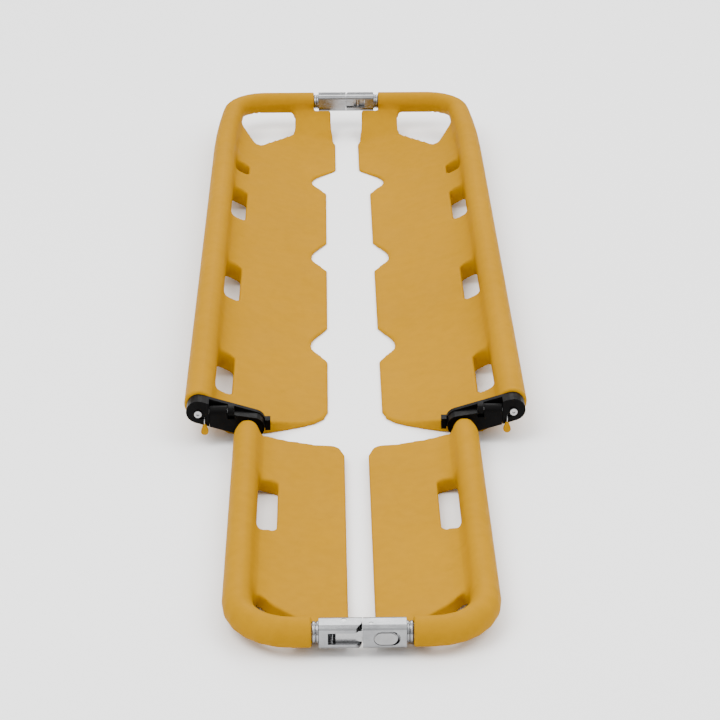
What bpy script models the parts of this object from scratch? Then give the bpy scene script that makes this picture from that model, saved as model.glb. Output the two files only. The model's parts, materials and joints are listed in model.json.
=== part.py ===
"""Folding scoop stretcher: two plastic halves, aluminium couplings at head and foot.

Metres. +X is the stretcher's right, +Y its head end, +Z up from the floor.
Each half is drawn once in (u, y, z), where u is the distance from the middle
plane, and is then set on its own side.
"""
import math

import bmesh
import bpy
from mathutils import Matrix, Vector
from mathutils.geometry import delaunay_2d_cdt

# Overall
LENGTH = 1.650
MAIN_HALF_WIDTH = 0.215
FOOT_HALF_WIDTH = 0.152
HINGE_Y = -0.331              # fold axis, measured from the middle of the length
HINGE_Z = 0.044
GAP = 0.0003                  # clearance between pieces that meet

# Rails of the moulded panels
SIDE_RAIL_R = 0.0185
SIDE_RAIL_Z = 0.046
HEAD_RAIL_R = 0.0155
HEAD_RAIL_Z = 0.0495
HEAD_CORNER_R = 0.050
RAIL_TAPER = 0.007            # how far the side rail leans in before the head corner
RAIL_TAPER_RUN = 0.170
FOOT_RAIL_R = 0.017
FOOT_RAIL_Z = 0.024
END_RAIL_R = 0.0165
END_RAIL_Z = 0.025
FOOT_CORNER_R = 0.0615

# Main panel plate
MAIN_HALF_GAP = 0.0350        # inner edge to the middle plane, foot part
NECK_HALF_GAP = 0.0185        # the same, between the first notch and the head
HEAD_HALF_GAP = 0.0265        # the same, beside the head coupling
BLADE_T = 0.0035              # thin inner edge
FLANK_DEPTH = 0.025           # vertical thickness of the sloping flank
NOTCH_TIPS_Y = (0.552, 0.246, -0.058)
NOTCH_DEPTH = 0.0225
NOTCH_BELOW = 0.048            # mouth's reach towards the foot end from the tip
NOTCH_ABOVE = 0.057
NOTCH_PROFILE = (              # shares of the depth and of the reach, from tip to mouth
    (0.0, 0.0), (0.03, 0.18), (0.13, 0.34), (0.31, 0.50), (0.58, 0.69), (0.84, 0.87), (1.0, 1.0),
)

# Openings in the main panel
HOLE_INNER = 0.0385           # distance in from the side rail's centre line
HOLE_OUTER = 0.0150
UNDER_RAIL = 0.0017           # plate stops this far short of the rail's centre line
HAND_HOLES_Y = ((-0.260, -0.145), (0.030, 0.152), (0.325, 0.444))
STRAP_SLOT_Y = (0.515, 0.558)
CORNER_HOLE_INNER_U = 0.086

# Foot panel plate
FOOT_HALF_GAP = 0.0148
FOOT_PLATE_T = 0.011
FOOT_HOLE_Y = (-0.583, -0.466)
FOOT_HOLE_INNER = 0.040
FOOT_HOLE_OUTER = 0.0125

# Tubes
TUBE_WALL = 0.0018
SLIDE_TUBE_R = 0.0105
SLIDE_TUBE_END = 0.012        # stops this far short of the foot corner
TUBE_SIDES = 16

# Hinge bracket and fold arm
PLATE_FRONT = 0.0078           # bracket plate's front face, behind the fold axis
PLATE_T = 0.0068
OUTER_ROUND = 0.4             # how far inboard of its centre the outer round runs, by its radius
CAP_R = 0.0150
ARM_END_R = 0.015
ARM_END_U = 0.007             # arm's inner round, inboard of the foot rail's centre line
ARM_HALF = 0.0075             # arm's half thickness about the fold axis
EYE_R = 0.0073
EYE_WIDTH = 0.0225
LUG_WIDTH = 0.0075
LUG_R = 0.0070
PIN_R = 0.003
BOLT_R = 0.003
BOSS_SIDE = 0.0135            # boss starts this far inboard of the side rail's centre line

# Fold lock
LOCK_R = 0.002
LOCK_DROP = 0.0065             # lock plunger's height below the fold axis
LOCK_TRAVEL = 0.005
LOCK_TAIL = 0.0035            # plunger's tail, outboard of the side rail's centre line
LOCK_SPRING_R = 0.0017        # a closely wound spring, as a ribbed rod
LOCK_WIRE = 0.0006
LOCK_WELL = 0.0100            # the same for the bottom of its hole
WIRE_IN = 0.0055              # pull wire's distance out from the boss's inner side
TAB_LENGTH = 0.0155

# Couplings
CASTING_LENGTH = 0.0465
CASTING_DEPTH = 0.025
CASTING_HEIGHT = 0.028
CASTING_ROUND = 0.006
SPLIT = 0.0003
WINDOW_HEIGHT = 0.0138
WINDOW_END = 0.037
BACK_WALL = 0.003             # closes the far end of the window behind the lever's tip
SLOT_END = 0.036
SLOT_WALL = 0.0025            # casting wall behind the lever spring
KEEPER_X = 0.020
KEEPER_R = 0.003
LEVER_T = 0.0075
LEVER_DEPTH = 0.0052          # lever's front face, behind the casting's
LEVER_TIP = 0.0316
LEVER_TAIL = 0.034
LEVER_PIN_X = 0.009
LEVER_PIN_R = 0.0025
BUTTON_X = 0.0245
BUTTON_R = 0.0078             # half height; the ends are round
BUTTON_HALF = 0.0125          # half length
BUTTON_RECESS_END = 0.040
BUTTON_T = 0.0030
BUTTON_TRAVEL = 0.0024
COLLAR = 0.008                # bare tube between a casting and a rail

SIDES = (("left", -1), ("right", 1))

# Places that follow from the sizes
HEAD_Y = LENGTH / 2 - HEAD_RAIL_R
FOOT_Y = -LENGTH / 2 + END_RAIL_R
RAIL_U = MAIN_HALF_WIDTH - SIDE_RAIL_R
FOOT_RAIL_U = FOOT_HALF_WIDTH - FOOT_RAIL_R
PLATE_FRONT_Y = HINGE_Y + PLATE_FRONT
MAIN_END_Y = PLATE_FRONT_Y + PLATE_T + GAP
ARM_FRONT_Y = HINGE_Y - ARM_HALF
FOOT_TOP_Y = ARM_FRONT_Y - 2 * GAP
RAIL_START_U = CASTING_LENGTH + COLLAR
TUBE_R = 0.4 * CASTING_DEPTH
BOSS_U = RAIL_U - BOSS_SIDE
EYE_OUT_U = BOSS_U - 2 * GAP
EYE_IN_U = EYE_OUT_U - EYE_WIDTH
LUG_OUT_U = EYE_IN_U - 2 * GAP
LUG_IN_U = LUG_OUT_U - LUG_WIDTH
LEVER_FRONT = LEVER_DEPTH - CASTING_DEPTH / 2
LEVER_BACK = LEVER_FRONT + LEVER_T
KEEPER_BACK = LEVER_BACK + GAP + KEEPER_R
LEVER_PIN_Y = (LEVER_FRONT + LEVER_BACK) / 2


# ---------------------------------------------------------------- scene tools

def clear_scene():
    for obj in list(bpy.data.objects):
        bpy.data.objects.remove(obj, do_unlink=True)


def material(name, colour, roughness, metallic=0.0):
    made = bpy.data.materials.new(name)
    made.use_nodes = True
    shader = made.node_tree.nodes["Principled BSDF"]
    shader.inputs["Base Color"].default_value = (*colour, 1.0)
    shader.inputs["Roughness"].default_value = roughness
    shader.inputs["Metallic"].default_value = metallic
    return made


def body(name, at=(0, 0, 0), parent=None):
    """An empty on a moving body's axis; its pieces are parented to it."""
    empty = bpy.data.objects.new("body_" + name, None)
    bpy.context.collection.objects.link(empty)
    empty["at"] = tuple(at)
    start = Vector(parent["at"]) if parent else Vector()
    empty.location = Vector(at) - start
    empty.parent = parent
    return empty


def new_object(name, shape, holder):
    bmesh.ops.recalc_face_normals(shape, faces=shape.faces)
    bmesh.ops.translate(shape, verts=shape.verts, vec=-Vector(holder["at"]))
    mesh = bpy.data.meshes.new(name)
    shape.to_mesh(mesh)
    shape.free()
    obj = bpy.data.objects.new(name, mesh)
    bpy.context.collection.objects.link(obj)
    obj.parent = holder
    return obj


def node(name, shape, holder, look, smooth=40):
    obj = new_object(name, shape, holder)
    obj.data.materials.append(look)
    obj.data.shade_smooth()
    obj.data.set_sharp_from_angle(angle=math.radians(smooth))
    return obj


def combine(obj, shape, operation):
    """Unite another shape with the object, or cut it away."""
    holder = obj.parent
    tool = new_object(obj.name + "_tool", shape, holder)
    tool.hide_render = True
    tool.display_type = "WIRE"
    step = obj.modifiers.new(operation.title(), "BOOLEAN")
    step.operation = operation
    step.object = tool
    step.solver = "EXACT"


def add(obj, *shapes):
    for shape in shapes:
        combine(obj, shape, "UNION")


def cut(obj, *shapes):
    for shape in shapes:
        combine(obj, shape, "DIFFERENCE")


# ---------------------------------------------------------------- shapes

def on_side(shape, sign):
    """Mirror a shape drawn in (u, y, z) onto its own side."""
    if sign < 0:
        bmesh.ops.scale(shape, verts=shape.verts, vec=(-1, 1, 1))
        bmesh.ops.reverse_faces(shape, faces=shape.faces)
    return shape


def box(low, high):
    shape = bmesh.new()
    bmesh.ops.create_cube(shape, size=1)
    low, high = Vector(low), Vector(high)
    bmesh.ops.scale(shape, verts=shape.verts, vec=high - low)
    bmesh.ops.translate(shape, verts=shape.verts, vec=(low + high) / 2)
    return shape


def prism(outline, axis, start, end):
    """Extrude a flat outline along X (outline in y, z), Y (x, z) or Z (x, y)."""
    place = {
        "X": lambda p, t: (t, p[0], p[1]),
        "Y": lambda p, t: (p[0], t, p[1]),
        "Z": lambda p, t: (p[0], p[1], t),
    }[axis]
    shape = bmesh.new()
    rings = [[shape.verts.new(place(p, t)) for p in outline] for t in (start, end)]
    shape.faces.new(rings[0])
    shape.faces.new(rings[1])
    count = len(outline)
    for i in range(count):
        j = (i + 1) % count
        shape.faces.new((rings[0][i], rings[0][j], rings[1][j], rings[1][i]))
    return shape


def arc(centre, radius, start, end, steps):
    """Points on an arc in the plane, angles in degrees."""
    turns = [math.radians(start + (end - start) * i / steps) for i in range(steps + 1)]
    return [(centre[0] + radius * math.cos(a), centre[1] + radius * math.sin(a)) for a in turns]


def pill(centre_a, radius_a, centre_b, radius_b, steps=10):
    """The outline around two circles and the tangents between them."""
    gap = Vector(centre_b) - Vector(centre_a)
    heading = math.degrees(math.atan2(gap.y, gap.x))
    spread = math.degrees(math.acos((radius_a - radius_b) / gap.length))
    near = arc(centre_a, radius_a, heading + spread, heading + 360 - spread, steps)
    far = arc(centre_b, radius_b, heading - spread, heading + spread, steps)
    return near + far


def rounded_box_outline(half_w, half_h, radius, steps=4):
    outline = []
    corners = ((1, 1, 0), (-1, 1, 90), (-1, -1, 180), (1, -1, 270))
    for x, z, turn in corners:
        centre = (x * (half_w - radius), z * (half_h - radius))
        outline += arc(centre, radius, turn, turn + 90, steps)
    return outline


def rings_along(shape, path, radii, sides):
    rings = []
    for i, point in enumerate(path):
        before = path[max(i - 1, 0)]
        after = path[min(i + 1, len(path) - 1)]
        along = (Vector(after) - Vector(before)).normalized()
        up = Vector((0, 0, 1)) if abs(along.z) < 0.9 else Vector((1, 0, 0))
        across = along.cross(up).normalized()
        up = across.cross(along)
        turns = [2 * math.pi * (k + 0.5) / sides for k in range(sides)]
        spokes = [across * math.cos(a) + up * math.sin(a) for a in turns]
        rings.append([shape.verts.new(Vector(point) + s * radii[i]) for s in spokes])
    return rings


def skin(shape, rings):
    sides = len(rings[0])
    for low, high in zip(rings, rings[1:]):
        for k in range(sides):
            m = (k + 1) % sides
            shape.faces.new((low[k], low[m], high[m], high[k]))


def rod(path, radius, sides=TUBE_SIDES):
    """A solid round bar along a path; the radius may be a list."""
    radii = radius if isinstance(radius, list) else [radius] * len(path)
    shape = bmesh.new()
    rings = rings_along(shape, path, radii, sides)
    skin(shape, rings)
    shape.faces.new(rings[0])
    shape.faces.new(rings[-1])
    return shape


def pipe(path, outer, inner, sides=TUBE_SIDES):
    """A tube open at both ends."""
    shape = bmesh.new()
    outside = rings_along(shape, path, [outer] * len(path), sides)
    inside = rings_along(shape, path, [inner] * len(path), sides)
    skin(shape, outside)
    skin(shape, inside)
    for end in (0, -1):
        skin(shape, [outside[end], inside[end]])
    return shape


def coil(start, end, radius, wire, turns, steps=7, sides=4):
    """A compression spring between two points along X or Y."""
    start, end = Vector(start), Vector(end)
    along = (end - start).normalized()
    across = along.cross(Vector((0, 0, 1))).normalized()
    up = across.cross(along)
    path = []
    for i in range(turns * steps + 1):
        angle = 2 * math.pi * i / steps
        rise = start.lerp(end, i / (turns * steps))
        path.append(rise + (across * math.cos(angle) + up * math.sin(angle)) * radius)
    shape = rod(path, wire, sides)
    bmesh.ops.triangulate(shape, faces=shape.faces)   # the faces are twisted
    return shape


# ---------------------------------------------------------------- moulded plates

def ramp(distance, stations):
    """Height at a distance, from straight runs between (distance, height) stations."""
    for (d0, h0), (d1, h1) in zip(stations, stations[1:]):
        if distance <= d1:
            return h0 + (h1 - h0) * max(distance - d0, 0) / (d1 - d0)
    return stations[-1][1]


def inside(point, loop):
    hit = False
    for (x0, y0), (x1, y1) in zip(loop, loop[1:] + loop[:1]):
        if (y0 > point[1]) != (y1 > point[1]):
            if point[0] < x0 + (point[1] - y0) * (x1 - x0) / (y1 - y0):
                hit = not hit
    return hit


def edge_distance(point, loop):
    point = Vector(point)
    nearest = 1.0
    for a, b in zip(loop, loop[1:] + loop[:1]):
        start, run = Vector(a), Vector(b) - Vector(a)
        share = min(max((point - start).dot(run) / run.length_squared, 0), 1)
        nearest = min(nearest, (point - start - run * share).length)
    return nearest


def split_at(loop, u_lines, y_lines):
    """Add points where an outline crosses the lines on which the plate bends."""
    result = []
    for a, b in zip(loop, loop[1:] + loop[:1]):
        shares = {0.0}
        for axis, lines in ((0, u_lines), (1, y_lines)):
            span = b[axis] - a[axis]
            if abs(span) > 1e-6:
                shares |= {(line - a[axis]) / span for line in lines}
        kept = sorted(s for s in shares if s == 0 or 0.02 < s < 0.98)
        result += [(a[0] + (b[0] - a[0]) * s, a[1] + (b[1] - a[1]) * s) for s in kept]
    return result


def plate(outline, holes, u_lines, y_lines, top, bottom, clear=0.004):
    """A closed plate over a flat outline, between two height functions."""
    loops = [split_at(loop, u_lines, y_lines) for loop in [outline] + holes]
    points, edges = [], []
    for loop in loops:
        first, count = len(points), len(loop)
        points += loop
        edges += [(first + i, first + (i + 1) % count) for i in range(count)]
    for u in u_lines:
        for y in y_lines:
            here = (u, y)
            if inside(here, loops[0]) and not any(inside(here, h) for h in loops[1:]):
                if min(edge_distance(here, loop) for loop in loops) > clear:
                    points.append(here)
    spots, _, triangles, *_ = delaunay_2d_cdt([Vector(p) for p in points], edges, [], 0, 1e-7)
    kept = []
    for triangle in triangles:
        middle = sum((spots[i] for i in triangle), Vector((0, 0))) / 3
        if inside(middle, loops[0]) and not any(inside(middle, h) for h in loops[1:]):
            kept.append(triangle)
    used = {i for triangle in kept for i in triangle}
    shape = bmesh.new()
    upper = {i: shape.verts.new((*spots[i], top(*spots[i]))) for i in used}
    lower = {i: shape.verts.new((*spots[i], bottom(*spots[i]))) for i in used}
    directed = {(t[k], t[(k + 1) % 3]) for t in kept for k in range(3)}
    for t in kept:
        shape.faces.new([upper[i] for i in t])
        shape.faces.new([lower[i] for i in reversed(t)])
    for a, b in directed:
        if (b, a) not in directed:
            shape.faces.new((lower[a], lower[b], upper[b], upper[a]))
    return shape


def lines_between(start, end, step):
    count = max(2, round((end - start) / step))
    return [start + (end - start) * i / count for i in range(count + 1)]


# Stations of the main plate, as (distance in from the rail's centre line, height)
FLANK_TOP = (
    (0.0, SIDE_RAIL_Z),
    (SIDE_RAIL_R, SIDE_RAIL_Z - 0.004),
    (HOLE_INNER, 0.031),
    (HOLE_INNER + 0.018, 0.0245),
    (HOLE_INNER + 0.046, 0.0175),
    (HOLE_INNER + 0.091, BLADE_T + 0.003),
    (HOLE_INNER + 0.126, BLADE_T),
)
FLANK_BOTTOM = (
    (0.0, SIDE_RAIL_Z - 0.016),
    (SIDE_RAIL_R - 0.006, 0.0425 - FLANK_DEPTH),
    (HOLE_INNER - 0.003, 0.0295 - FLANK_DEPTH),
    (HOLE_INNER + 0.012, 0.0),
)
HEAD_RISE_TOP = (
    (0.0, HEAD_RAIL_Z - 0.001),
    (HEAD_RAIL_R, HEAD_RAIL_Z - 0.011),
    (0.055, 0.018),
    (0.075, 0.0),
)
HEAD_RISE_BOTTOM = (
    (0.0, HEAD_RAIL_Z - 0.009),
    (HEAD_RAIL_R, 0.026),
    (0.050, 0.004),
    (0.062, 0.0),
)


def head_corner():
    """Middle of the head corner's bend, in plan."""
    return RAIL_U - RAIL_TAPER - HEAD_CORNER_R, HEAD_Y - HEAD_CORNER_R


def rail_lean(y):
    """How far the side rail's centre line has moved inward at y."""
    share = (y - head_corner()[1]) / RAIL_TAPER_RUN + 1
    return RAIL_TAPER * min(max(share, 0), 1) ** 2


def rail_distances(u, y):
    """Distance in from the side rail's centre line, and from the head rail's."""
    corner_u, corner_y = head_corner()
    if u > corner_u and y > corner_y:
        around = HEAD_CORNER_R - math.hypot(u - corner_u, y - corner_y)
        return around, around
    return RAIL_U - rail_lean(y) - u, HEAD_Y - y


def main_top(u, y):
    side, head = rail_distances(u, y)
    return max(ramp(side, FLANK_TOP), ramp(head, HEAD_RISE_TOP))


def main_bottom(u, y):
    side, head = rail_distances(u, y)
    return max(ramp(side, FLANK_BOTTOM), ramp(head, HEAD_RISE_BOTTOM))


def notch(tip_y, edge_below, edge_above):
    """A rounded V in the inner edge, from its lower mouth to its upper one."""
    tip_u = MAIN_HALF_GAP + NOTCH_DEPTH
    below = [(tip_u - d * (tip_u - edge_below), tip_y - r * NOTCH_BELOW) for d, r in NOTCH_PROFILE]
    above = [(tip_u - d * (tip_u - edge_above), tip_y + r * NOTCH_ABOVE) for d, r in NOTCH_PROFILE]
    return below[::-1] + above[1:]


def main_outline():
    """Main plate in plan, from the foot end up the inner edge and back along the rail."""
    foot_end = MAIN_END_Y
    neck_top = HEAD_Y - 0.085
    casting_foot_face = HEAD_Y + 0.001 - CASTING_DEPTH / 2
    outline = [
        (RAIL_U - SIDE_RAIL_R - 0.030, foot_end + 0.001),
        (0.112, foot_end + 0.008),
        (0.088, foot_end + 0.016),
        (0.065, foot_end + 0.025),
        (0.050, foot_end + 0.033),
        (0.040, foot_end + 0.044),
        (MAIN_HALF_GAP, foot_end + 0.060),
    ]
    outline += notch(NOTCH_TIPS_Y[2], MAIN_HALF_GAP, MAIN_HALF_GAP)
    outline += notch(NOTCH_TIPS_Y[1], MAIN_HALF_GAP, MAIN_HALF_GAP)
    outline += notch(NOTCH_TIPS_Y[0], MAIN_HALF_GAP, NECK_HALF_GAP)
    outline += [
        (NECK_HALF_GAP, neck_top),
        (NECK_HALF_GAP + 0.004, neck_top + 0.016),
        (HEAD_HALF_GAP - 0.001, neck_top + 0.034),
        (HEAD_HALF_GAP, neck_top + 0.050),
        (HEAD_HALF_GAP, casting_foot_face - 0.002),
        (RAIL_START_U + 0.002, casting_foot_face - 0.002),
        (RAIL_START_U + 0.002, HEAD_Y - UNDER_RAIL),
    ]
    outline += arc(head_corner(), HEAD_CORNER_R - UNDER_RAIL, 90, 0, 6)
    for share in (0.7, 0.35, 0.0):
        y = head_corner()[1] - RAIL_TAPER_RUN * (1 - share)
        outline.append((RAIL_U - UNDER_RAIL - rail_lean(y), y))
    outline.append((RAIL_U - UNDER_RAIL, foot_end + 0.001))
    outline.reverse()
    return outline


def hole_outline(u_in, u_out, y_low, y_high, chamfer=0.005):
    """A hand hole in plan, with its corners eased."""
    return [
        (u_in + chamfer, y_low), (u_out - chamfer, y_low),
        (u_out, y_low + chamfer), (u_out, y_high - chamfer),
        (u_out - chamfer, y_high), (u_in + chamfer, y_high),
        (u_in, y_high - chamfer), (u_in, y_low + chamfer),
    ]


def corner_hole_outline():
    """The five-sided hole beside the head corner; its outer sides lie under the rail."""
    inner = CORNER_HOLE_INNER_U
    under_rail = arc(head_corner(), HEAD_CORNER_R - 0.009, 90, 0, 4)
    return [
        (inner, HEAD_Y - 0.050),
        (inner + 0.004, HEAD_Y - 0.062),
        (RAIL_U - 0.0545, HEAD_Y - 0.144),
        (RAIL_U - 0.0460, HEAD_Y - 0.143),
        (RAIL_U - 0.0160, HEAD_Y - 0.068),
    ] + list(reversed(under_rail)) + [
        (inner + 0.006, HEAD_Y - 0.009),
        (inner, HEAD_Y - 0.020),
    ]


def main_rail_path(start_y, end_u):
    """Centre line of the side rail, head corner and head rail."""
    path = [(RAIL_U, start_y, SIDE_RAIL_Z)]
    for share in (0.0, 0.35, 0.7, 1.0):
        y = head_corner()[1] - RAIL_TAPER_RUN * (1 - share)
        path.append((RAIL_U - rail_lean(y), y, SIDE_RAIL_Z))
    bend = arc(head_corner(), HEAD_CORNER_R, 0, 90, 6)[1:]
    for i, (u, y) in enumerate(bend):
        rise = (HEAD_RAIL_Z - SIDE_RAIL_Z) * (i + 1) / len(bend)
        path.append((u, y, SIDE_RAIL_Z + rise))
    path.append((end_u, HEAD_Y, HEAD_RAIL_Z))
    return path


def main_rail(path):
    radii = []
    for i in range(len(path)):
        share = min(max((i - 1) / (len(path) - 3), 0), 1)
        radii.append(SIDE_RAIL_R + (HEAD_RAIL_R - SIDE_RAIL_R) * share)
    return rod(path, radii, 20)


def build_main_panel(side, sign, holder, look):
    holes = [corner_hole_outline()]
    for low, high in HAND_HOLES_Y + (STRAP_SLOT_Y,):
        holes.append(hole_outline(RAIL_U - HOLE_INNER, RAIL_U - HOLE_OUTER, low, high))
    u_lines = [RAIL_U - d for d, _ in FLANK_TOP[1:]] + [RAIL_U - d for d, _ in FLANK_BOTTOM[1:]]
    y_lines = lines_between(MAIN_END_Y, HEAD_Y - 0.080, 0.075)
    y_lines += [HEAD_Y - d for d, _ in HEAD_RISE_TOP[1:]]
    shape = plate(main_outline(), holes, u_lines, y_lines, main_top, main_bottom)
    panel = node(side + "_main_panel", on_side(shape, sign), holder, look)
    add(panel, on_side(main_rail(main_rail_path(MAIN_END_Y, RAIL_START_U)), sign))
    bore = rod(main_rail_path(MAIN_END_Y - 0.002, RAIL_START_U - 0.002), TUBE_R + GAP)
    cut(panel, on_side(bore, sign))
    return panel


def build_frame_tube(side, sign, holder, look):
    path = main_rail_path(MAIN_END_Y, CASTING_LENGTH - 0.0055)
    shape = pipe(path, TUBE_R, TUBE_R - TUBE_WALL)
    return node(side + "_frame_tube", on_side(shape, sign), holder, look)


# Stations of the foot plate
FOOT_TOP = (
    (0.0, FOOT_RAIL_Z),
    (FOOT_RAIL_R - 0.003, FOOT_RAIL_Z - 0.001),
    (FOOT_HOLE_INNER, FOOT_RAIL_Z - 0.0055),
    (FOOT_HOLE_INNER + 0.042, FOOT_PLATE_T + 0.002),
    (FOOT_HOLE_INNER + 0.083, FOOT_PLATE_T),
)
FOOT_BOTTOM = (
    (0.0, FOOT_RAIL_Z - 0.012),
    (FOOT_RAIL_R, 0.005),
    (FOOT_RAIL_R + 0.016, 0.0),
)


def foot_top(u, y):
    return max(ramp(FOOT_RAIL_U - u, FOOT_TOP), ramp(y - FOOT_Y, FOOT_TOP))


def foot_bottom(u, y):
    return max(ramp(FOOT_RAIL_U - u, FOOT_BOTTOM), ramp(y - FOOT_Y, FOOT_BOTTOM))


def foot_outline():
    """Foot plate in plan, from the rail across the head-side edge and down the inner edge."""
    top = FOOT_TOP_Y
    corner = (FOOT_RAIL_U - FOOT_CORNER_R, FOOT_Y + FOOT_CORNER_R)
    casting_back = FOOT_Y - 0.001 + CASTING_DEPTH / 2
    return [
        (FOOT_RAIL_U, top - 0.020),
        (FOOT_RAIL_U - 0.014, top - 0.012),
        (FOOT_RAIL_U - 0.045, top - 0.019),
        (FOOT_RAIL_U - 0.082, top - 0.0225),
        (FOOT_HALF_GAP + 0.014, top - 0.024),
        (FOOT_HALF_GAP + 0.006, top - 0.030),
        (FOOT_HALF_GAP, top - 0.048),
        (FOOT_HALF_GAP, casting_back + 0.002),
        (RAIL_START_U + 0.002, casting_back + 0.002),
        (RAIL_START_U + 0.002, FOOT_Y),
    ] + arc(corner, FOOT_CORNER_R, 270, 360, 6)


def foot_corner_hole():
    """The lens-shaped hole beside the foot corner; its outer side lies under the rail."""
    corner = (FOOT_RAIL_U - FOOT_CORNER_R, FOOT_Y + FOOT_CORNER_R)
    under_rail = arc(corner, FOOT_CORNER_R - 0.010, 275, 370, 5)
    return under_rail + [
        (FOOT_RAIL_U - 0.021, FOOT_Y + 0.086),
        (FOOT_RAIL_U - 0.040, FOOT_Y + 0.0635),
        (FOOT_RAIL_U - 0.062, FOOT_Y + 0.042),
        (FOOT_RAIL_U - 0.070, FOOT_Y + 0.024),
    ]


def foot_rail_path(start_y, end_u, bend_from=360):
    """Centre line of the foot side rail, foot corner and foot end rail."""
    corner = (FOOT_RAIL_U - FOOT_CORNER_R, FOOT_Y + FOOT_CORNER_R)
    bend = arc(corner, FOOT_CORNER_R, bend_from, 270, 6)
    path = [] if start_y is None else [(FOOT_RAIL_U, start_y, FOOT_RAIL_Z)]
    for i, (u, y) in enumerate(bend):
        rise = (END_RAIL_Z - FOOT_RAIL_Z) * i / (len(bend) - 1)
        path.append((u, y, FOOT_RAIL_Z + rise))
    path.append((end_u, FOOT_Y, END_RAIL_Z))
    return path


def foot_rail():
    dome = ((0.0, 0.0045), (0.005, 0.0034), (0.011, 0.0018), (0.017, 0.0006), (0.024, 0.0))
    first = [(FOOT_RAIL_U, FOOT_TOP_Y - back, FOOT_RAIL_Z) for back, _ in dome]
    radii = [FOOT_RAIL_R - less for _, less in dome]
    path = first + foot_rail_path(None, RAIL_START_U)
    count = len(path) - len(first)
    radii += [FOOT_RAIL_R + (END_RAIL_R - FOOT_RAIL_R) * i / (count - 1) for i in range(count)]
    return rod(path, radii, 20)


def slide_tube_end_y():
    return FOOT_Y + FOOT_CORNER_R + SLIDE_TUBE_END


def build_foot_panel(side, sign, holder, look):
    u_in, u_out = FOOT_RAIL_U - FOOT_HOLE_INNER, FOOT_RAIL_U - FOOT_HOLE_OUTER
    holes = [hole_outline(u_in, u_out, *FOOT_HOLE_Y), foot_corner_hole()]
    u_lines = [FOOT_RAIL_U - d for d, _ in FOOT_TOP[1:]] + [FOOT_RAIL_U - d for d, _ in FOOT_BOTTOM[2:]]
    y_lines = lines_between(FOOT_Y + 0.1, FOOT_TOP_Y, 0.07)
    y_lines += [FOOT_Y + d for d, _ in FOOT_TOP[1:3]]
    shape = plate(foot_outline(), holes, u_lines, y_lines, foot_top, foot_bottom)
    panel = node(side + "_foot_panel", on_side(shape, sign), holder, look)
    add(panel, on_side(foot_rail(), sign))
    bore = y_rod(FOOT_RAIL_U, FOOT_RAIL_Z, FOOT_TOP_Y + 0.002, slide_tube_end_y() - 0.002, SLIDE_TUBE_R + GAP)
    cut(panel, on_side(bore, sign))
    end_bore = foot_rail_path(None, RAIL_START_U - 0.002, 318)
    cut(panel, on_side(rod(end_bore, TUBE_R + GAP), sign))
    lock_y = length_lock_y()
    hole = rod([(FOOT_RAIL_U, lock_y, 0.0), (FOOT_RAIL_U, lock_y, FOOT_RAIL_Z)], LOCK_R + 0.0012, 12)
    cut(panel, on_side(hole, sign))
    return panel


def build_end_tube(side, sign, holder, look):
    path = foot_rail_path(None, CASTING_LENGTH - 0.0055, 318)
    shape = pipe(path[1:], TUBE_R, TUBE_R - TUBE_WALL)
    return node(side + "_end_tube", on_side(shape, sign), holder, look)


# ---------------------------------------------------------------- fold hinge

def x_rod(u_from, u_to, y, z, radius, sides=16):
    return rod([(u_from, y, z), (u_to, y, z)], radius, sides)


def y_rod(u, z, y_from, y_to, radius, sides=16):
    return rod([(u, y_from, z), (u, y_to, z)], radius, sides)


def bracket_ends():
    """Centres of the bracket's outer and inner rounds."""
    return Vector((RAIL_U, SIDE_RAIL_Z)), Vector((FOOT_RAIL_U - ARM_END_U, FOOT_RAIL_Z + 0.0005))


def bracket_edge_z(u, over):
    """Height of the bracket's upper (over = 1) or lower (over = -1) edge at u."""
    cap, end = bracket_ends()
    run = cap - end
    lean = math.atan2(run.y, run.x) + over * math.asin((CAP_R - ARM_END_R) / run.length)
    touch = end + Vector((-math.sin(lean), math.cos(lean))) * ARM_END_R * over
    return touch.y + (u - touch.x) * math.tan(lean)


def bracket_outline():
    cap, end = bracket_ends()
    return pill(cap, CAP_R, end, ARM_END_R)


def boss_outline():
    """The outer part of the bracket's outline, cut off square at the boss's inner side."""
    cap = bracket_ends()[0]
    outer = [p for p in bracket_outline() if p[0] > cap.x - OUTER_ROUND * CAP_R]
    outer.sort(key=lambda p: math.atan2(p[1] - cap.y, p[0] - cap.x))
    return outer + [(BOSS_U, bracket_edge_z(BOSS_U, 1)), (BOSS_U, bracket_edge_z(BOSS_U, -1))]


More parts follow.
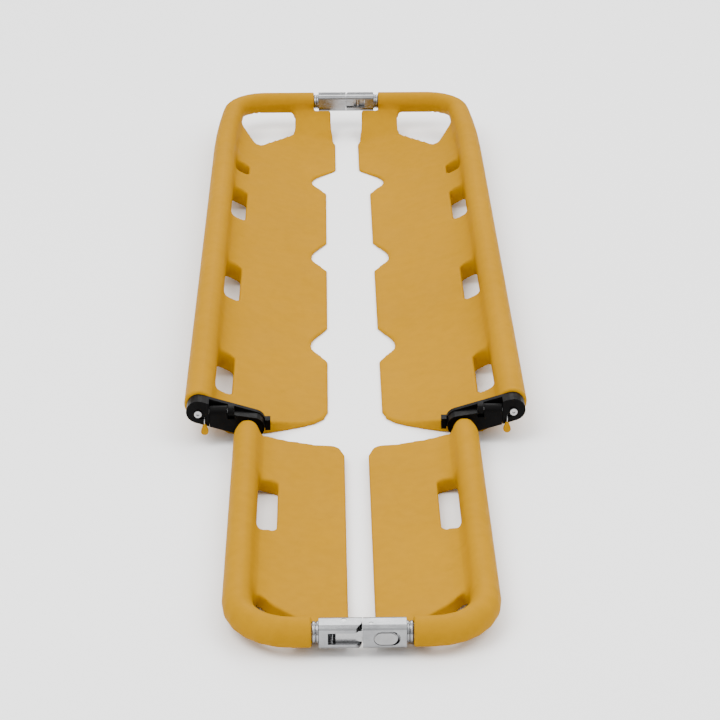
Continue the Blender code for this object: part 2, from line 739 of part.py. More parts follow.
def build_bracket(side, sign, holder, look):
    back = PLATE_FRONT_Y + PLATE_T
    boss_front = ARM_FRONT_Y + 0.0015
    shape = prism(bracket_outline(), "Y", PLATE_FRONT_Y, back)
    bracket = node(side + "_hinge_bracket", on_side(shape, sign), holder, look)
    boss = prism(boss_outline(), "Y", boss_front, PLATE_FRONT_Y + 0.001)
    spigot = y_rod(RAIL_U, SIDE_RAIL_Z, back - 0.001, back + 0.024, TUBE_R - TUBE_WALL - GAP, 20)
    lug_round = arc((HINGE_Y, HINGE_Z), LUG_R, 90, 270, 8)
    lug_back = [(PLATE_FRONT_Y + 0.001, HINGE_Z - LUG_R), (PLATE_FRONT_Y + 0.001, HINGE_Z + LUG_R)]
    lug = prism(lug_round + lug_back, "X", LUG_IN_U, LUG_OUT_U)
    low = FOOT_RAIL_Z - 0.008
    inner_u = FOOT_RAIL_U - ARM_END_U - ARM_END_R
    step_y = PLATE_FRONT_Y + 0.001
    block_outline = [
        (inner_u - 0.006, PLATE_FRONT_Y - 0.006), (inner_u + 0.0005, PLATE_FRONT_Y - 0.006),
        (inner_u + 0.0005, step_y), (inner_u + 0.004, step_y),
        (inner_u + 0.004, back - 0.001), (inner_u - 0.006, back - 0.001),
    ]
    block = prism(block_outline, "Z", low, low + 0.014)
    add(bracket, *(on_side(s, sign) for s in (boss, spigot, lug, block)))
    pin_hole = x_rod(LUG_IN_U - 0.002, BOSS_U + 0.0048, HINGE_Y, HINGE_Z, PIN_R + 0.0001)
    bolt_z = SIDE_RAIL_Z - 0.002
    bolt_hole = y_rod(RAIL_U, bolt_z, boss_front - 0.001, back + 0.010, BOLT_R + GAP)
    lock_z = HINGE_Z - LOCK_DROP
    lock_hole = x_rod(BOSS_U - 0.001, RAIL_U + LOCK_WELL, HINGE_Y, lock_z, LOCK_R + GAP)
    wire_u = BOSS_U + WIRE_IN
    slot = box(
        (wire_u - 0.001, boss_front - 0.001, lock_z - 0.0013),
        (wire_u + LOCK_TRAVEL + 0.001, HINGE_Y, lock_z + 0.0013),
    )
    cut(bracket, *(on_side(s, sign) for s in (pin_hole, bolt_hole, lock_hole, slot)))
    return bracket


def build_bolt(side, sign, holder, look):
    """Ring-headed bolt through the boss into the frame tube's end."""
    boss_front = ARM_FRONT_Y + 0.0015
    z = SIDE_RAIL_Z - 0.002
    end = PLATE_FRONT_Y + PLATE_T + 0.009
    path = [(RAIL_U, end, z), (RAIL_U, boss_front - GAP, z)]
    bolt = node(side + "_bracket_bolt", on_side(rod(path, BOLT_R, 16), sign), holder, look)
    head = y_rod(RAIL_U, z, boss_front - GAP, boss_front - 0.0028, 0.0046)
    add(bolt, on_side(head, sign))
    socket = y_rod(RAIL_U, z, boss_front - 0.0010, boss_front - 0.004, 0.0022, 6)
    cut(bolt, on_side(socket, sign))
    return bolt


def build_fold_pin(side, sign, holder, look):
    shape = x_rod(LUG_IN_U, BOSS_U + 0.0045, HINGE_Y, HINGE_Z, PIN_R)
    return node(side + "_fold_pin", on_side(shape, sign), holder, look)


def build_fold_arm(side, sign, holder, look):
    """Arm that carries the foot section; its eye turns on the fold pin."""
    end = (FOOT_RAIL_U - ARM_END_U, FOOT_RAIL_Z + 0.0005)
    notch_z = HINGE_Z - LUG_R - 2 * GAP
    outline = arc(end, ARM_END_R - 0.001, 110, 282, 10) + [
        (EYE_OUT_U, bracket_edge_z(EYE_OUT_U, -1) + 0.0005),
        (EYE_OUT_U, HINGE_Z),
        (EYE_IN_U, HINGE_Z),
        (EYE_IN_U, notch_z),
        (LUG_IN_U - 2 * GAP, notch_z),
        (LUG_IN_U - 2 * GAP, HINGE_Z - 0.0015),
    ]
    shape = prism(outline, "Y", ARM_FRONT_Y, HINGE_Y + ARM_HALF)
    arm = node(side + "_fold_arm", on_side(shape, sign), holder, look)
    add(arm, on_side(x_rod(EYE_IN_U, EYE_OUT_U, HINGE_Y, HINGE_Z, EYE_R, 20), sign))
    hole = x_rod(EYE_IN_U - 0.002, EYE_OUT_U + 0.002, HINGE_Y, HINGE_Z, PIN_R + 0.0001)
    socket = y_rod(FOOT_RAIL_U, FOOT_RAIL_Z, ARM_FRONT_Y - 0.002, HINGE_Y + 0.006, SLIDE_TUBE_R + GAP, 20)
    lock_z = HINGE_Z - LOCK_DROP
    keeper = x_rod(EYE_OUT_U - 0.006, EYE_OUT_U + 0.002, HINGE_Y, lock_z, LOCK_R + GAP)
    cut(arm, *(on_side(s, sign) for s in (hole, socket, keeper)))
    return arm


def build_slide_tube(side, sign, holder, look):
    path = [(FOOT_RAIL_U, HINGE_Y + 0.0055, FOOT_RAIL_Z), (FOOT_RAIL_U, slide_tube_end_y(), FOOT_RAIL_Z)]
    shape = pipe(path, SLIDE_TUBE_R, SLIDE_TUBE_R - TUBE_WALL)
    return node(side + "_slide_tube", on_side(shape, sign), holder, look)


def build_fold_lock(side, sign, holder, looks):
    """Sprung plunger in the boss, with a wire and a pull tab in front."""
    steel, silver, yellow = looks
    z = HINGE_Z - LOCK_DROP
    nose, tail = BOSS_U + GAP, RAIL_U + LOCK_TAIL
    plunger = x_rod(nose, tail, HINGE_Y, z, LOCK_R, 12)
    obj = node(side + "_lock_plunger", on_side(plunger, sign), holder, steel)
    wire_u = BOSS_U + WIRE_IN
    cut(obj, on_side(y_rod(wire_u, z, HINGE_Y - 0.004, HINGE_Y + 0.001, 0.0009, 10), sign))
    reach = ARM_FRONT_Y - 0.0025
    wire_path = [
        (wire_u, HINGE_Y, z),
        (wire_u, reach + 0.001, z),
        (wire_u, reach, z - 0.001),
        (wire_u, reach, z - 0.006),
    ]
    node(side + "_lock_wire", on_side(rod(wire_path, 0.0006, 8), sign), holder, silver)
    tab_z = z - 0.006 - TAB_LENGTH / 2
    outline = pill((wire_u, tab_z - 0.002), 0.0047, (wire_u, tab_z + 0.0045), 0.0024, 8)
    tab = prism(outline, "Y", reach - 0.0018, reach + 0.0018)
    tab_obj = node(side + "_lock_tab", on_side(tab, sign), holder, yellow)
    eye = rod([(wire_u, reach, z), (wire_u, reach, z - 0.0075)], 0.0009, 8)
    cut(tab_obj, on_side(eye, sign))
    start, end = tail + GAP + 0.0001, RAIL_U + LOCK_WELL - 0.0001
    core = x_rod(start, end, HINGE_Y, z, LOCK_SPRING_R - LOCK_WIRE, 12)
    spring = node(side + "_lock_spring", on_side(core, sign), holder, steel)
    turns = 4
    for i in range(turns):
        middle = start + (end - start) * (i + 0.5) / turns
        rib = x_rod(middle - LOCK_WIRE / 2, middle + LOCK_WIRE / 2, HINGE_Y, z, LOCK_SPRING_R, 12)
        add(spring, on_side(rib, sign))


def length_lock_y():
    return FOOT_TOP_Y - 0.024


def build_length_lock(side, sign, holder, look):
    """Sprung button under the foot rail; its plunger points at the slide tube."""
    y = length_lock_y()
    top = FOOT_RAIL_Z - SLIDE_TUBE_R - 2 * GAP
    knob_top = FOOT_RAIL_Z - FOOT_RAIL_R - 0.0008
    stem = rod([(FOOT_RAIL_U, y, top), (FOOT_RAIL_U, y, knob_top)], LOCK_R, 12)
    obj = node(side + "_length_button", on_side(stem, sign), holder, look)
    knob = rod([(FOOT_RAIL_U, y, knob_top), (FOOT_RAIL_U, y, knob_top - 0.0028)], 0.006, 16)
    add(obj, on_side(knob, sign))


# ---------------------------------------------------------------- couplings

def placed(shape, centre, turned):
    """Set a coupling piece, drawn about its own middle with its front to -y."""
    if turned:
        bmesh.ops.rotate(shape, verts=shape.verts, cent=(0, 0, 0), matrix=Matrix.Rotation(math.pi, 3, "Z"))
    bmesh.ops.translate(shape, verts=shape.verts, vec=centre)
    return shape


def casting_block(x_from, x_to):
    outline = rounded_box_outline(CASTING_DEPTH / 2, CASTING_HEIGHT / 2, CASTING_ROUND)
    return prism(outline, "X", x_from, x_to)


def z_rod(x, y, radius, half, sides=16):
    return rod([(x, y, -half), (x, y, half)], radius, sides)


def build_keeper_casting(name, at, turned, tube_at, holder, look):
    """Casting with a window through it; its split end is round about the keeper pin."""
    casting = node(name, placed(casting_block(-CASTING_LENGTH, -SPLIT), at, turned), holder, look)
    half = CASTING_DEPTH / 2
    sill = WINDOW_HEIGHT / 2
    window = box((-WINDOW_END, -half - 0.001, -sill), (0.001, half - BACK_WALL, sill))
    through = box((-LEVER_TIP, half - BACK_WALL - 0.001, -sill), (0.001, half + 0.001, sill))
    reach = KEEPER_X - SPLIT
    low = math.degrees(math.asin((half + KEEPER_BACK) / reach))
    curve = arc((-KEEPER_X, KEEPER_BACK), reach, 0, -low, 8)
    corner = prism(curve + [(curve[-1][0], -half - 0.002), (0.002, -half - 0.002), (0.002, KEEPER_BACK)],
                   "Z", -CASTING_HEIGHT, CASTING_HEIGHT)
    pin_hole = z_rod(-KEEPER_X, KEEPER_BACK, KEEPER_R + 0.0001, CASTING_HEIGHT)
    tube_y, tube_z = tube_at
    socket = rod([(-CASTING_LENGTH - 0.002, tube_y, tube_z), (-CASTING_LENGTH + 0.006, tube_y, tube_z)],
                 TUBE_R + GAP)
    cut(casting, *(placed(s, at, turned) for s in (window, through, corner, pin_hole, socket)))


def build_carrier_casting(name, at, turned, tube_at, holder, look):
    """Casting that holds the button, the lever and the alignment tongue."""
    casting = node(name, placed(casting_block(SPLIT, CASTING_LENGTH), at, turned), holder, look)
    half = CASTING_DEPTH / 2
    tongue_end = KEEPER_X - KEEPER_R - 0.004
    tongue = box((-tongue_end, LEVER_BACK + 2 * GAP, -WINDOW_HEIGHT / 2 + 0.0007),
                 (0.002, half - 0.005, WINDOW_HEIGHT / 2 - 0.0007))
    sill = WINDOW_HEIGHT / 2
    slot = box((-0.001 + SPLIT, -half + 0.0023, -sill), (SLOT_END, half - SLOT_WALL, sill))
    near = BUTTON_X - BUTTON_HALF - 2 * GAP
    pocket_floor = -half + BUTTON_T + BUTTON_TRAVEL + 0.0015
    pocket = prism(obround(near, BUTTON_RECESS_END, BUTTON_R + 2 * GAP), "Y", -half - 0.002, pocket_floor)
    pin_hole = z_rod(LEVER_PIN_X, LEVER_PIN_Y, LEVER_PIN_R + 0.0001, CASTING_HEIGHT)
    tube_y, tube_z = tube_at
    socket = rod([(CASTING_LENGTH + 0.002, tube_y, tube_z), (CASTING_LENGTH - 0.006, tube_y, tube_z)],
                 TUBE_R + GAP)
    cut(casting, *(placed(s, at, turned) for s in (slot, pocket, pin_hole, socket)))
    add(casting, placed(tongue, at, turned))
    seat = box((0.0015, LEVER_BACK + 2 * GAP, -WINDOW_HEIGHT / 2 - 0.001),
               (0.0035, half - 0.005, WINDOW_HEIGHT / 2 + 0.001))
    add(casting, placed(seat, at, turned))


def build_lever(name, at, turned, holder, look):
    height = WINDOW_HEIGHT / 2 - 0.0005
    outline = [
        (-LEVER_TIP, LEVER_BACK), (-LEVER_TIP, LEVER_FRONT + 0.003), (-LEVER_TIP + 0.003, LEVER_FRONT),
        (LEVER_TAIL, LEVER_FRONT), (LEVER_TAIL, LEVER_BACK),
    ]
    lever = node(name, placed(prism(outline, "Z", -height, height), at, turned), holder, look)
    hole = z_rod(LEVER_PIN_X, LEVER_PIN_Y, LEVER_PIN_R + 0.0001, CASTING_HEIGHT)
    cut(lever, placed(hole, at, turned))


def obround(x_from, x_to, radius, steps=10):
    """A flat outline in x and z with two round ends."""
    return arc((x_from + radius, 0), radius, 90, 270, steps) + arc((x_to - radius, 0), radius, -90, 90, steps)


def build_button(name, at, turned, holder, look):
    face = -CASTING_DEPTH / 2 - 0.0005
    back = face + BUTTON_T
    left, right = BUTTON_X - BUTTON_HALF, BUTTON_X + BUTTON_HALF
    step = 0.0009
    plinth = prism(obround(left, right, BUTTON_R), "Y", face + step, back)
    button = node(name, placed(plinth, at, turned), holder, look)
    raised = prism(obround(left + step, right - step, BUTTON_R - step), "Y", face, back - step)
    add(button, placed(raised, at, turned))
    nub_x = BUTTON_X + 0.0078
    nub = rod([(nub_x, back - 0.001, 0), (nub_x, LEVER_FRONT - GAP, 0)], 0.0015, 12)
    add(button, placed(nub, at, turned))


def build_coupling(name, at, turned, tube_at, holders, looks):
    """holders: keeper casting, keeper pin, carrier casting, lever, button."""
    keeper, keeper_pin, carrier, lever, button = holders
    aluminium, steel, chrome = looks
    half = CASTING_HEIGHT / 2 - 0.0004
    build_keeper_casting(name + "_keeper_casting", at, turned, tube_at, keeper, aluminium)
    build_carrier_casting(name + "_carrier_casting", at, turned, tube_at, carrier, aluminium)
    pin = z_rod(-KEEPER_X, KEEPER_BACK, KEEPER_R, half)
    node(name + "_keeper_pin", placed(pin, at, turned), keeper_pin, steel)
    pin = z_rod(LEVER_PIN_X, LEVER_PIN_Y, LEVER_PIN_R, half)
    node(name + "_lever_pin", placed(pin, at, turned), carrier, steel)
    build_lever(name + "_lever", at, turned, lever, steel)
    build_button(name + "_button", at, turned, button, chrome)
    spring_x = LEVER_TAIL - 0.004
    wall = CASTING_DEPTH / 2 - SLOT_WALL
    spring = coil((spring_x, LEVER_BACK + 0.0009, 0), (spring_x, wall - 0.0009, 0), 0.003, 0.0005, 4)
    node(name + "_lever_spring", placed(spring, at, turned), carrier, steel)


# ---------------------------------------------------------------- assembly

def coupling_place(y, z, turned):
    """Middle of a coupling whose tubes run at (y, z), and the tubes' place in it."""
    shift = 0.001
    centre = (0, y + shift if turned else y - shift, z - 0.0005)
    return centre, (shift, 0.0005)


def on_coupling(at, turned, x, y):
    sign = -1 if turned else 1
    return (at[0] + sign * x, at[1] + sign * y, at[2])


def build_half(side, sign, main, looks):
    """All pieces of one half; returns its foot body."""
    yellow, black, aluminium, steel = looks
    build_main_panel(side, sign, main, yellow)
    build_frame_tube(side, sign, main, aluminium)
    build_bracket(side, sign, main, black)
    build_bolt(side, sign, main, steel)
    build_fold_pin(side, sign, main, steel)
    axis = (sign * (EYE_IN_U + EYE_OUT_U) / 2, HINGE_Y, HINGE_Z)
    fold = body(side + "_fold", axis, main)
    build_fold_arm(side, sign, fold, black)
    build_slide_tube(side, sign, fold, aluminium)
    foot = body(side + "_foot", (sign * FOOT_RAIL_U, FOOT_TOP_Y, FOOT_RAIL_Z), fold)
    build_foot_panel(side, sign, foot, yellow)
    build_end_tube(side, sign, foot, aluminium)
    lock = body(side + "_fold_lock", (sign * RAIL_U, HINGE_Y, HINGE_Z - LOCK_DROP), main)
    build_fold_lock(side, sign, lock, (steel, steel, yellow))
    button = body(side + "_length_lock", (sign * FOOT_RAIL_U, length_lock_y(), 0.01), foot)
    build_length_lock(side, sign, button, black)
    return foot


def build():
    clear_scene()
    yellow = material("yellow_plastic", (0.75, 0.43, 0.03), 0.45)
    black = material("black_nylon", (0.012, 0.012, 0.013), 0.42)
    aluminium = material("aluminium", (0.77, 0.78, 0.80), 0.28, 1.0)
    steel = material("steel", (0.62, 0.62, 0.63), 0.30, 1.0)
    chrome = material("bright_steel", (0.80, 0.80, 0.81), 0.16, 1.0)
    head_at, head_tube = coupling_place(HEAD_Y, HEAD_RAIL_Z, True)
    foot_at, foot_tube = coupling_place(FOOT_Y, END_RAIL_Z, False)
    left = body("left_main")
    pivot_at = on_coupling(head_at, True, -KEEPER_X, KEEPER_BACK)
    pivot = body("head_pivot", pivot_at, left)
    right = body("right_main", pivot_at, pivot)
    looks = (yellow, black, aluminium, steel)
    left_foot = build_half("left", -1, left, looks)
    right_foot = build_half("right", 1, right, looks)
    metals = (aluminium, steel, chrome)
    for name, at, turned, tube_at, keeper, pin, carrier in (
        ("head", head_at, True, head_tube, right, pivot, left),
        ("foot", foot_at, False, foot_tube, left_foot, left_foot, right_foot),
    ):
        lever = body(name + "_lever", on_coupling(at, turned, LEVER_PIN_X, LEVER_PIN_Y), carrier)
        button = body(name + "_button", on_coupling(at, turned, BUTTON_X, 0), carrier)
        build_coupling(name, at, turned, tube_at, (keeper, pin, carrier, lever, button), metals)


build()
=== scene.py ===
"""Folding scoop stretcher on a pale studio floor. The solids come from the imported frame."""
import json
import math

import bmesh
import bpy
import numpy as np
from mathutils import Matrix, Vector

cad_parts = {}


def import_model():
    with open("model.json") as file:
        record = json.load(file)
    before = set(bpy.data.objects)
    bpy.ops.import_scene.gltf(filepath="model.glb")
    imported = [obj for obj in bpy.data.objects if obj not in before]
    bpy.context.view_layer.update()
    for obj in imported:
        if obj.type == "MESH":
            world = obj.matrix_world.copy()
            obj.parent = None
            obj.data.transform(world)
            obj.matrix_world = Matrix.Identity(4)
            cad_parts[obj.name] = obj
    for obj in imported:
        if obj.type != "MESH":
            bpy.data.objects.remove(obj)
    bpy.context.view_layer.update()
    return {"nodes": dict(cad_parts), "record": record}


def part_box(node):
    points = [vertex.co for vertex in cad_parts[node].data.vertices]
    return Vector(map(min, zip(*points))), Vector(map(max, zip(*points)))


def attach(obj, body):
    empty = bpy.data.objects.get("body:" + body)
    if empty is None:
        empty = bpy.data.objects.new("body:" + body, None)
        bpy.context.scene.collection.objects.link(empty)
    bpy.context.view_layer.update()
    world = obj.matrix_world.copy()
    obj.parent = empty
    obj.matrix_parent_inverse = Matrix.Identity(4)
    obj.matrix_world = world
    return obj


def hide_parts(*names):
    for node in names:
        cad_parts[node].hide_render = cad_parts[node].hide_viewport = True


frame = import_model()
NODES = frame["nodes"]
SIDES = ("left", "right")
TUBE_R = 0.010                # bare tube between a casting and a rail
PANEL_VOXEL = 0.0022          # grid on which the panels are remeshed
EDGE_ANGLE = 35               # degrees; sharper edges of the metal pieces are bevelled
LAMPS = (                     # name, place, diameter and power; all point at the origin
    ("key", (-1.6, -1.2, 3.2), 2.4, 110),
    ("fill", (2.2, -0.6, 2.8), 2.6, 60),
    ("back", (0.2, 2.8, 2.6), 2.2, 60),
)
WORLD_LOW, WORLD_HIGH = 0.5, 2.0    # strength at the horizon, and from WORLD_TOP upwards
WORLD_TOP = 0.75
FLOOR_HALF = 14.0
FLOOR_DROP = 0.0005
LENS = 112.8
CAMERA_PLACE = (-0.035, -2.835, 1.328)
CAMERA_YAW, CAMERA_PITCH, CAMERA_ROLL = 0.92, 25.87, -0.06    # degrees


def body_of_node(name):
    """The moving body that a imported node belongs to."""
    for body, nodes in frame["record"]["behaviour"]["bodies"].items():
        if name in nodes:
            return body
    raise ValueError(name)


# ---------------------------------------------------------------- materials

class Shader:
    """A Principled material with short calls for adding nodes to it."""

    def __init__(self, name, roughness, metallic=0.0):
        self.material = bpy.data.materials.new(name)
        self.material.use_nodes = True
        self.tree = self.material.node_tree
        self.bsdf = self.tree.nodes["Principled BSDF"]
        self.bsdf.inputs["Roughness"].default_value = roughness
        self.bsdf.inputs["Metallic"].default_value = metallic
        self.place = self.tree.nodes.new("ShaderNodeTexCoord").outputs["Object"]

    def link(self, source, target):
        self.tree.links.new(source, target)

    def noise(self, scale, detail=4.0, rough=0.55, stretch=(1, 1, 1)):
        mapping = self.tree.nodes.new("ShaderNodeMapping")
        mapping.inputs["Scale"].default_value = stretch
        self.link(self.place, mapping.inputs["Vector"])
        made = self.tree.nodes.new("ShaderNodeTexNoise")
        made.inputs["Scale"].default_value = scale
        made.inputs["Detail"].default_value = detail
        made.inputs["Roughness"].default_value = rough
        self.link(mapping.outputs["Vector"], made.inputs["Vector"])
        return made.outputs["Fac"]

    def ramp(self, source, stops):
        made = self.tree.nodes.new("ShaderNodeValToRGB")
        band = made.color_ramp
        while len(band.elements) < len(stops):
            band.elements.new(0.5)
        for element, (place, colour) in zip(band.elements, stops):
            element.position = place
            element.color = (*colour, 1.0)
        self.link(source, made.inputs["Fac"])
        return made.outputs["Color"]

    def spread(self, source, low, high):
        made = self.tree.nodes.new("ShaderNodeMapRange")
        made.inputs["From Min"].default_value = 0.3
        made.inputs["From Max"].default_value = 0.7
        made.inputs["To Min"].default_value = low
        made.inputs["To Max"].default_value = high
        self.link(source, made.inputs["Value"])
        return made.outputs["Result"]

    def times(self, a, b):
        made = self.tree.nodes.new("ShaderNodeMix")
        made.data_type = "RGBA"
        made.blend_type = "MULTIPLY"
        made.inputs["Factor"].default_value = 1.0
        self.link(a, made.inputs["A"])
        self.link(b, made.inputs["B"])
        return made.outputs["Result"]

    def bump(self, source, strength, distance):
        made = self.tree.nodes.new("ShaderNodeBump")
        made.inputs["Strength"].default_value = strength
        made.inputs["Distance"].default_value = distance
        last = self.bsdf.inputs["Normal"]
        if last.is_linked:
            self.link(last.links[0].from_socket, made.inputs["Normal"])
        self.link(source, made.inputs["Height"])
        self.link(made.outputs["Normal"], last)


def yellow_plastic():
    """Satin moulded polyethylene: faint mottling, fine grain and rubbed patches scattered at random.
    """
    s = Shader("yellow_plastic", 0.5)
    broad = s.ramp(s.noise(3.0, 3.0), [
        (0.30, (0.338, 0.163, 0.0)),
        (0.55, (0.356, 0.172, 0.0)),
        (0.75, (0.374, 0.182, 0.0)),
    ])
    fine = s.ramp(s.noise(70.0, 5.0), [(0.35, (0.94, 0.94, 0.94)), (0.65, (1.0, 1.0, 1.0))])
    worn = s.ramp(s.noise(38.0, 6.0, 0.7), [(0.60, (1.0, 1.0, 1.0)), (0.72, (0.93, 0.94, 0.98))])
    colour = s.times(s.times(broad, fine), worn)
    s.link(colour, s.bsdf.inputs["Base Color"])
    s.link(s.spread(s.noise(24.0, 6.0), 0.46, 0.60), s.bsdf.inputs["Roughness"])
    s.bump(s.noise(16.0, 2.0), 0.2, 0.0005)
    s.bump(s.noise(700.0, 2.0), 0.15, 0.0001)
    s.bsdf.inputs["Specular IOR Level"].default_value = 0.02
    return s.material


def black_nylon():
    s = Shader("black_nylon", 0.42)
    colour = s.ramp(s.noise(60.0), [(0.3, (0.0010, 0.0009, 0.0009)), (0.7, (0.0020, 0.0018, 0.0019))])
    s.link(colour, s.bsdf.inputs["Base Color"])
    s.link(s.spread(s.noise(90.0), 0.34, 0.52), s.bsdf.inputs["Roughness"])
    s.bump(s.noise(1400.0, 2.0), 0.25, 0.0001)
    s.bsdf.inputs["Specular IOR Level"].default_value = 0.05
    return s.material


def aluminium():
    s = Shader("aluminium", 0.3, 1.0)
    colour = s.ramp(s.noise(45.0, 6.0), [
        (0.30, (0.21, 0.213, 0.22)),
        (0.55, (0.27, 0.273, 0.28)),
        (0.75, (0.32, 0.323, 0.33)),
    ])
    s.link(colour, s.bsdf.inputs["Base Color"])
    s.link(s.spread(s.noise(130.0, 6.0, stretch=(1, 6, 6)), 0.16, 0.30), s.bsdf.inputs["Roughness"])
    s.bump(s.noise(55.0, 4.0), 0.10, 0.0003)
    s.bump(s.noise(1100.0, 2.0, stretch=(0.2, 1, 1)), 0.08, 0.00004)
    return s.material


def steel(name, shade, low, high):
    s = Shader(name, low, 1.0)
    colour = s.ramp(s.noise(80.0, 5.0), [
        (0.3, (shade * 0.85, shade * 0.85, shade * 0.86)),
        (0.7, (shade, shade, shade * 1.01)),
    ])
    s.link(colour, s.bsdf.inputs["Base Color"])
    s.link(s.spread(s.noise(260.0, 4.0, stretch=(1, 1, 8)), low, high), s.bsdf.inputs["Roughness"])
    s.bump(s.noise(1600.0, 2.0, stretch=(0.15, 1, 1)), 0.1, 0.00005)
    return s.material


# ---------------------------------------------------------------- moulded panels

class Surface:
    """Vertices and neighbours of a dense mesh, for smoothing with numpy."""

    def __init__(self, mesh):
        self.mesh = mesh
        count = len(mesh.vertices)
        points = np.empty(count * 3)
        mesh.vertices.foreach_get("co", points)
        self.points = points.reshape(-1, 3)
        pairs = np.empty(len(mesh.edges) * 2, dtype=np.int32)
        mesh.edges.foreach_get("vertices", pairs)
        pairs = pairs.reshape(-1, 2)
        self.ends = np.concatenate([pairs[:, 0], pairs[:, 1]])
        self.others = np.concatenate([pairs[:, 1], pairs[:, 0]])
        self.degree = np.maximum(np.bincount(self.ends, minlength=count), 1)[:, None]

    def pull(self):
        """From each vertex to the middle of its neighbours."""
        total = np.stack(
            [np.bincount(self.ends, weights=self.points[self.others, k], minlength=len(self.points))
             for k in range(3)], axis=1)
        return total / self.degree - self.points

    def normals(self):
        self.store()
        out = np.empty(len(self.points) * 3)
        self.mesh.vertex_normals.foreach_get("vector", out)
        return out.reshape(-1, 3)

    def store(self):
        self.mesh.vertices.foreach_set("co", self.points.ravel())
        self.mesh.update()

    def ease(self, rounds, shrink=0.5, grow=-0.53):
        """Taubin smoothing: rounds corners off without thinning the shape."""
        for _ in range(rounds):
            self.points += shrink * self.pull()
            self.points += grow * self.pull()

    def fill_creases(self, rounds, every=10, pace=0.8):
        """Moves only hollow places outwards, which builds a fillet in each crease."""
        for i in range(rounds):
            if i % every == 0:
                normals = self.normals()
            out = np.einsum("ij,ij->i", self.pull(), normals)
            self.points += normals * np.maximum(out, 0.0)[:, None] * pace


def moulded(node_name, look):
    """The CAD panel remeshed finely, filleted and relaxed, so that it looks blow-moulded."""
    source = NODES[node_name]
    copy = bpy.data.objects.new(node_name + "_source", source.data.copy())
    bpy.context.collection.objects.link(copy)
    remesh = copy.modifiers.new("Remesh", "REMESH")
    remesh.mode = "VOXEL"
    remesh.voxel_size = PANEL_VOXEL
    graph = bpy.context.evaluated_depsgraph_get()
    mesh = bpy.data.meshes.new_from_object(copy.evaluated_get(graph))
    bpy.data.objects.remove(copy, do_unlink=True)
    surface = Surface(mesh)
    surface.ease(rounds=8)
    surface.fill_creases(rounds=90)
    surface.ease(rounds=6)
    surface.store()
    mesh.shade_smooth()
    mesh.materials.clear()
    mesh.materials.append(look)
    piece = bpy.data.objects.new(node_name + "_moulding", mesh)
    bpy.context.collection.objects.link(piece)
    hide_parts(node_name)
    return piece


# ---------------------------------------------------------------- carried-over nodes

EDGE_WIDTHS = (
    (("casting", "bracket", "fold_arm"), 0.0008),
    (("lever", "lock_tab", "_button"), 0.0006),
    (("bracket_bolt",), 0.0003),
)


def dress(obj, look, bevel=0.0):
    for i in range(max(1, len(obj.material_slots))):
        if obj.material_slots:
            obj.material_slots[i].material = look
        else:
            obj.data.materials.append(look)
    if bevel:
        edge = obj.modifiers.new("Edges", "BEVEL")
        edge.width = bevel
        edge.segments = 2
        edge.limit_method = "ANGLE"
        edge.angle_limit = math.radians(EDGE_ANGLE)
        edge.harden_normals = True


# ---------------------------------------------------------------- tube collars

COLLAR_PROFILE = (   # along the tube from the casting, and radius, in mm
    (-0.3, 10.1), (0.0, 11.7), (0.5, 12.1), (2.2, 12.1), (2.6, 11.7), (2.8, 10.7),
    (3.5, 10.7), (3.8, 11.5), (4.4, 11.8), (6.9, 11.8), (7.4, 11.4), (7.7, 10.1),
)


def collar(name, start, heading, look, body, sides=48):
    """Turned collar around the bare tube between a casting and a rail."""
    shape = bmesh.new()
    rings = []
    for along, radius in COLLAR_PROFILE:
        ring = []
        for i in range(sides):
            angle = 2 * math.pi * i / sides
            ring.append(shape.verts.new((
                start[0] + heading * along / 1000,
                start[1] + math.cos(angle) * radius / 1000,
                start[2] + math.sin(angle) * radius / 1000,
            )))
        rings.append(ring)
    for near, far in zip(rings, rings[1:] + rings[:1]):
        for i in range(sides):
            j = (i + 1) % sides
            shape.faces.new((near[i], near[j], far[j], far[i]))
    bmesh.ops.recalc_face_normals(shape, faces=shape.faces)
    mesh = bpy.data.meshes.new(name)
    shape.to_mesh(mesh)
    shape.free()
    mesh.shade_smooth()
    mesh.materials.append(look)
    piece = bpy.data.objects.new(name, mesh)
    bpy.context.collection.objects.link(piece)
    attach(piece, body)


def collars(look):
    for end, tube in (("head", "frame_tube"), ("foot", "end_tube")):
        for part in ("keeper_casting", "carrier_casting"):
            low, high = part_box(end + "_" + part)
            heading = 1 if low[0] + high[0] > 0 else -1
            side = "right" if heading > 0 else "left"
            tube_low, tube_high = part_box(side + "_" + tube)
            y = tube_high[1] - TUBE_R if end == "head" else tube_low[1] + TUBE_R
            z = tube_high[2] - TUBE_R
            face = high[0] if heading > 0 else low[0]
            collar(end + "_" + side + "_collar", (face, y, z), heading, look,
                   body_of_node(end + "_" + part))


# ---------------------------------------------------------------- studio

def world():
    """Pale surround, brighter overhead, so that metal shows its shape."""
    made = bpy.data.worlds.new("studio")
    made.use_nodes = True
    tree = made.node_tree
    back = tree.nodes["Background"]
    split = tree.nodes.new("ShaderNodeSeparateXYZ")
    tree.links.new(tree.nodes.new("ShaderNodeTexCoord").outputs["Generated"], split.inputs["Vector"])
    height = tree.nodes.new("ShaderNodeMapRange")
    height.inputs["From Max"].default_value = WORLD_TOP
    height.inputs["To Min"].default_value = WORLD_LOW
    height.inputs["To Max"].default_value = WORLD_HIGH
    tree.links.new(split.outputs["Z"], height.inputs["Value"])
    tree.links.new(height.outputs["Result"], back.inputs["Strength"])
    back.inputs["Color"].default_value = (1.0, 1.0, 1.0, 1.0)
    bpy.context.scene.world = made


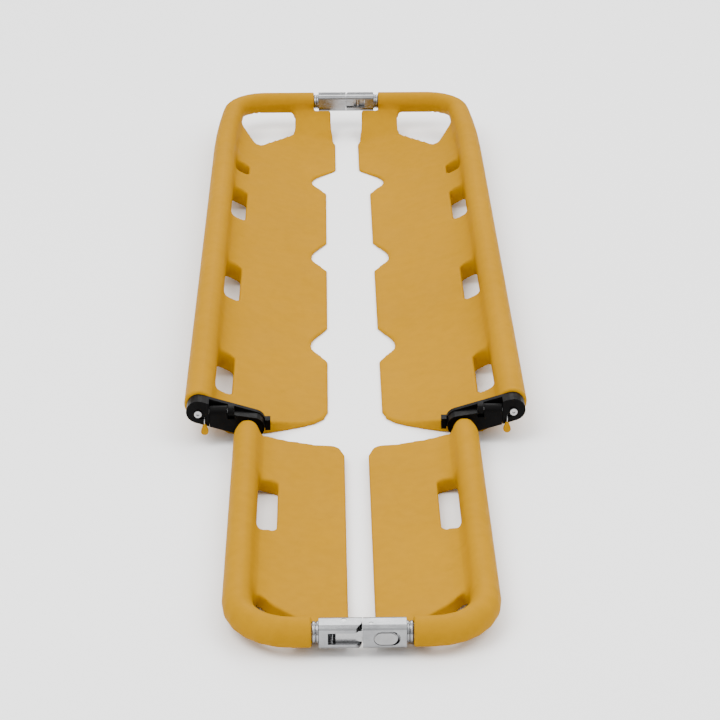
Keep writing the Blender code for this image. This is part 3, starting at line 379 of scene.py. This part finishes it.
def paper_floor():
    mesh = bpy.data.meshes.new("floor")
    shape = bmesh.new()
    bmesh.ops.create_grid(shape, x_segments=1, y_segments=1, size=FLOOR_HALF)
    shape.to_mesh(mesh)
    shape.free()
    floor = bpy.data.objects.new("floor", mesh)
    floor.location.z = -FLOOR_DROP
    s = Shader("floor_paper", 0.9)
    s.link(s.ramp(s.noise(0.8, 2.0), [(0.3, (0.93, 0.93, 0.93)), (0.7, (0.95, 0.95, 0.95))]),
           s.bsdf.inputs["Base Color"])
    mesh.materials.append(s.material)
    bpy.context.scene.collection.objects.link(floor)


def lamps():
    for name, spot, size, power in LAMPS:
        light = bpy.data.lights.new(name, "AREA")
        light.shape = "DISK"
        light.size = size
        light.energy = power
        lamp = bpy.data.objects.new(name, light)
        lamp.location = spot
        lamp.rotation_euler = (-Vector(spot)).to_track_quat("-Z", "Y").to_euler()
        bpy.context.scene.collection.objects.link(lamp)


def camera():
    data = bpy.data.cameras.new("camera")
    data.sensor_width = 36.0
    data.lens = LENS
    data.clip_end = 60.0
    made = bpy.data.objects.new("camera", data)
    made.location = CAMERA_PLACE
    yaw, pitch, roll = (math.radians(a) for a in (CAMERA_YAW, CAMERA_PITCH, CAMERA_ROLL))
    flat = math.cos(pitch)
    ahead = Vector((math.sin(yaw) * flat, math.cos(yaw) * flat, -math.sin(pitch)))
    turn = ahead.to_track_quat("-Z", "Y").to_matrix().to_4x4() @ Matrix.Rotation(roll, 4, "Z")
    made.rotation_euler = turn.to_euler()
    bpy.context.scene.collection.objects.link(made)
    bpy.context.scene.camera = made


def build():
    camera()
    world()
    paper_floor()
    lamps()
    yellow, black, alloy = yellow_plastic(), black_nylon(), aluminium()
    plain = steel("steel", 0.40, 0.22, 0.36)
    bright = steel("bright_steel", 0.30, 0.16, 0.26)
    looks = {"yellow_plastic": yellow, "black_nylon": black, "aluminium": alloy,
             "steel": plain, "bright_steel": bright}
    slots = {s["node"]: s["material_slot"] for s in frame["record"]["subparts"]}
    for side in SIDES:
        for name in (side + "_main_panel", side + "_foot_panel"):
            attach(moulded(name, yellow), body_of_node(name))
    for name, obj in NODES.items():
        if name.endswith("_panel"):
            continue
        widths = [w for ends, w in EDGE_WIDTHS if name.endswith(ends)]
        dress(obj, looks[slots[name]], widths[0] if widths else 0.0)
    collars(alloy)


build()
